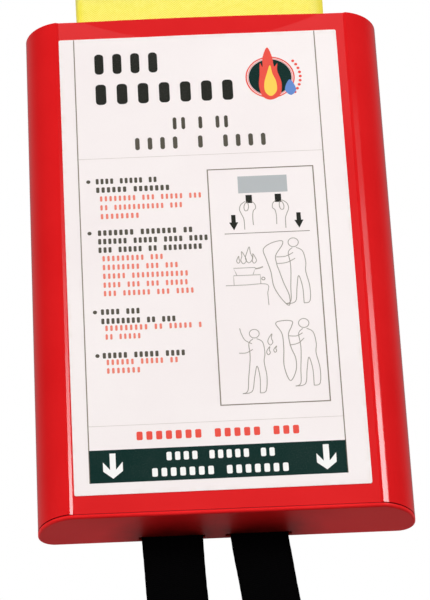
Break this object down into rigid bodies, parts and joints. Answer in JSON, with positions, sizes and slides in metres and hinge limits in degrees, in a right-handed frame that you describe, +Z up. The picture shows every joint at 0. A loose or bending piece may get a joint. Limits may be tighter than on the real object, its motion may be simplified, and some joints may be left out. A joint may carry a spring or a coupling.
{
  "type": "fire blanket",
  "caption": "Wall case with a folded fire blanket inside, closed below by a push-fit cap and two pull tapes that draw the blanket out downwards.",
  "frame": {"origin": "on the wall plane at the back of the case, midway between the entry holes of the two keyholes", "axes": "+Z up, +X to the right as seen from the front, +Y into the wall, so the front of the case looks along -Y"},
  "size_m": [0.184, 0.0295, 0.4116],
  "materials": {
    "case_red": "glossy moulded red ABS with slightly worn edges",
    "screw_zinc": "bright zinc plate",
    "label_white": "satin self-adhesive vinyl film",
    "blanket_yellow": "woven glass fibre with a yellow coating, fine herringbone",
    "tape_black": "black woven webbing with fine cross ribs",
    "thread_black": "black bonded sewing thread"
  },
  "bodies": {
    "case": {"front_shell": "case_red", "back_shell": "case_red", "case_screws": "screw_zinc", "front_label": "label_white"},
    "blanket": {"fire_blanket": "blanket_yellow", "left_tape_sewn_end": "tape_black", "left_tape_stitching": "thread_black", "right_tape_sewn_end": "tape_black", "right_tape_stitching": "thread_black"},
    "cap": {"bottom_cap": "case_red"},
    "left_tape": {"left_pull_tape": "tape_black"},
    "right_tape": {"right_pull_tape": "tape_black"}
  },
  "joints": [
    {"name": "blanket_pull", "type": "slide", "parent": "case", "child": "blanket", "axis": [0, 0, -1], "range_m": [0, 0.31]},
    {"name": "cap_release", "type": "slide", "parent": "blanket", "child": "cap", "axis": [0, 0, -1], "range_m": [0, 0.015]},
    {"name": "left_tape_swing", "type": "hinge", "parent": "blanket", "child": "left_tape", "pos_m": [-0.02634, -0.0039, -0.265], "axis": [-1, 0, 0], "range_deg": [0, 75]},
    {"name": "right_tape_swing", "type": "hinge", "parent": "blanket", "child": "right_tape", "pos_m": [0.01718, -0.0039, -0.265], "axis": [-1, 0, 0], "range_deg": [0, 75]}
  ]
}
